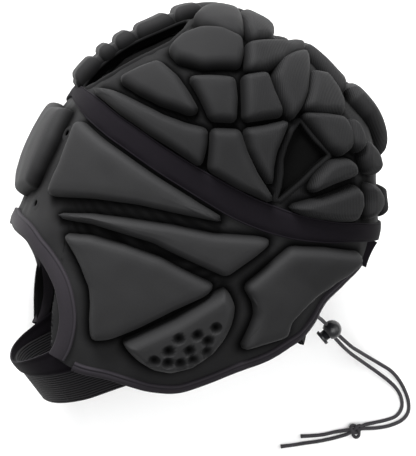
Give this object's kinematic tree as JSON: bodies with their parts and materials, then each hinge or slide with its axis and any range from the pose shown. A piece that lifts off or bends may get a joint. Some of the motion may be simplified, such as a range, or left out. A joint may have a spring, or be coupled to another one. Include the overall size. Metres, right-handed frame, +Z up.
{
  "type": "soft padded sport headguard",
  "caption": "Soft padded headguard with a moulded segmented crown, padded sides, ear domes, a cloth tape, an elastic chin strap and a drawcord with a spring lock.",
  "frame": {"origin": "on the surface it rests on, under the middle of the headguard without its drawcord", "axes": "+Z up, towards the wearer's left side; the crown faces +Y and the face opening faces -X"},
  "size_m": [0.2934, 0.3081, 0.1822],
  "materials": {
    "panel_cloth": "smooth matte knit over moulded foam",
    "crown_cloth": "fine ribbed matte knit over moulded foam",
    "lining_cloth": "thin black knit",
    "tape_cloth": "matte woven tape",
    "elastic_web": "ribbed elastic webbing",
    "cord_braid": "round braided cord",
    "lock_plastic": "satin moulded plastic"
  },
  "bodies": {
    "headguard": {"crown_panel": "crown_cloth", "crown_lining": "lining_cloth", "side_panel": "panel_cloth", "crown_tape": "tape_cloth", "face_binding": "tape_cloth", "rim_binding_left": "tape_cloth", "rim_binding_right": "tape_cloth", "rear_gusset": "tape_cloth", "rear_tab": "tape_cloth", "lacing_cord": "cord_braid", "chin_elastic": "elastic_web", "chin_band": "tape_cloth", "cord_lock_barrel": "lock_plastic", "drawcord_exit": "cord_braid", "drawcord_a": "cord_braid", "drawcord_b": "cord_braid", "drawcord_knot": "cord_braid", "drawcord_tail_a": "cord_braid", "drawcord_tail_b": "cord_braid"},
    "lock_button": {"cord_lock_button": "lock_plastic"}
  },
  "joints": [
    {"name": "lock_press", "type": "slide", "parent": "headguard", "child": "lock_button", "axis": [0.7614, 0.6393, 0.1078], "range_m": [0, 0.0025], "stiffness_N_per_m": 300, "springref_m": -0.003}
  ]
}
